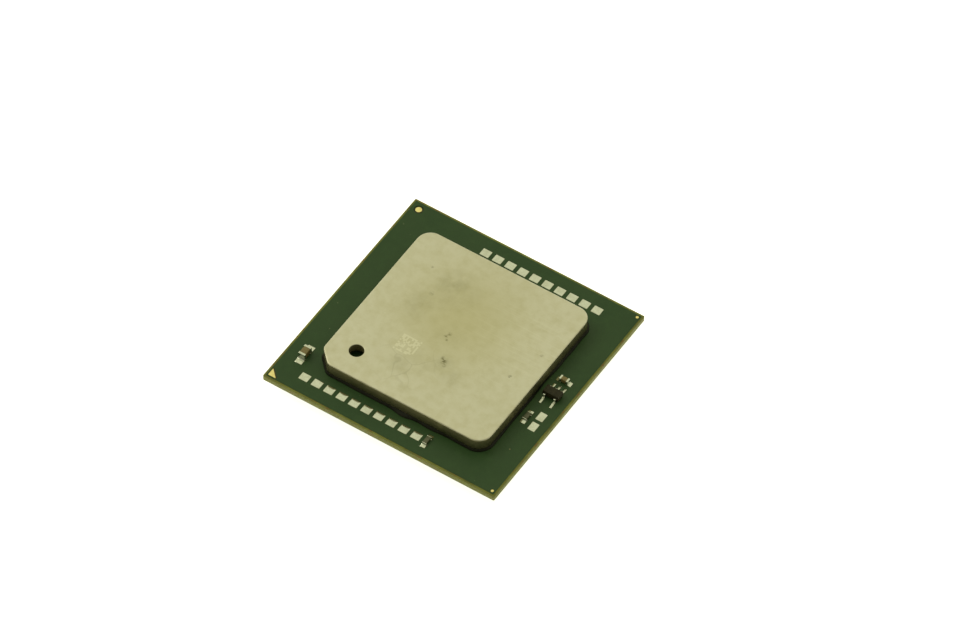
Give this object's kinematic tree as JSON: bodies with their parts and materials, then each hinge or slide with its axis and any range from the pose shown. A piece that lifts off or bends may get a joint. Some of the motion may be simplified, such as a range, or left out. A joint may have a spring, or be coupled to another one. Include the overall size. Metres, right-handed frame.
{
  "type": "computer processor package",
  "caption": "Square pin-grid processor: green laminate board with a nickel-plated heat-spreading lid, surface parts round it and gold pins below, which plugs into a socket.",
  "frame": {"origin": "middle of the plane through the pin tips, under the board's centre", "axes": "+Z from the pin tips up through the lid; X and Y along the board's edges, with the chamfered lid corner that marks pin one at -X -Y; the long side of the pin field runs along X"},
  "size_m": [0.0426, 0.0426, 0.0057],
  "materials": {
    "laminate": "bare glass-cloth laminate, sawn edges",
    "solder_mask": "dark green solder mask, satin",
    "nickel_plate": "nickel-plated copper, satin and lightly scratched",
    "sealant": "black cured sealant, wavy bead",
    "silicon": "polished silicon",
    "thermal_paste": "grey filled paste",
    "underfill": "cured amber epoxy",
    "gold_plate": "gold-plated copper alloy",
    "tin_solder": "reflowed tin solder",
    "brown_ceramic": "fired brown ceramic",
    "dark_glaze": "ceramic under a dark glaze",
    "moulded_black": "moulded black epoxy"
  },
  "bodies": {
    "root": {"board_laminate": "laminate", "die_underfill": "underfill", "front_corner_dot": "gold_plate", "front_pin_bank": "gold_plate", "front_resistor_body": "dark_glaze", "front_resistor_end_1": "tin_solder", "front_resistor_end_2": "tin_solder", "front_test_pad_01": "tin_solder", "front_test_pad_02": "tin_solder", "front_test_pad_03": "tin_solder", "front_test_pad_04": "tin_solder", "front_test_pad_05": "tin_solder", "front_test_pad_06": "tin_solder", "front_test_pad_07": "tin_solder", "front_test_pad_08": "tin_solder", "front_test_pad_09": "tin_solder", "front_test_pad_10": "tin_solder", "heat_spreader": "nickel_plate", "left_capacitor_body": "brown_ceramic", "left_capacitor_end_1": "tin_solder", "left_capacitor_end_2": "tin_solder", "left_pin_bank": "gold_plate", "lid_sealant": "sealant", "lower_solder_mask": "solder_mask", "pin_one_triangle": "gold_plate", "rear_corner_dot": "gold_plate", "rear_pin_bank": "gold_plate", "rear_test_pad_01": "tin_solder", "rear_test_pad_02": "tin_solder", "rear_test_pad_03": "tin_solder", "rear_test_pad_04": "tin_solder", "rear_test_pad_05": "tin_solder", "rear_test_pad_06": "tin_solder", "rear_test_pad_07": "tin_solder", "rear_test_pad_08": "tin_solder", "rear_test_pad_09": "tin_solder", "rear_test_pad_10": "tin_solder", "right_capacitor_body": "brown_ceramic", "right_capacitor_end_1": "tin_solder", "right_capacitor_end_2": "tin_solder", "right_pin_bank": "gold_plate", "right_resistor_body": "dark_glaze", "right_resistor_end_1": "tin_solder", "right_resistor_end_2": "tin_solder", "round_fiducial": "gold_plate", "side_chip_body": "moulded_black", "side_chip_lead_1": "tin_solder", "side_chip_lead_2": "tin_solder", "side_chip_lead_3": "tin_solder", "side_chip_lead_4": "tin_solder", "side_chip_lead_5": "tin_solder", "silicon_die": "silicon", "spare_pad_1": "tin_solder", "spare_pad_2": "tin_solder", "thermal_interface": "thermal_paste", "underside_capacitor_1": "brown_ceramic", "underside_capacitor_2": "brown_ceramic", "underside_capacitor_3": "brown_ceramic", "underside_capacitor_4": "brown_ceramic", "upper_solder_mask": "solder_mask"}
  },
  "joints": []
}
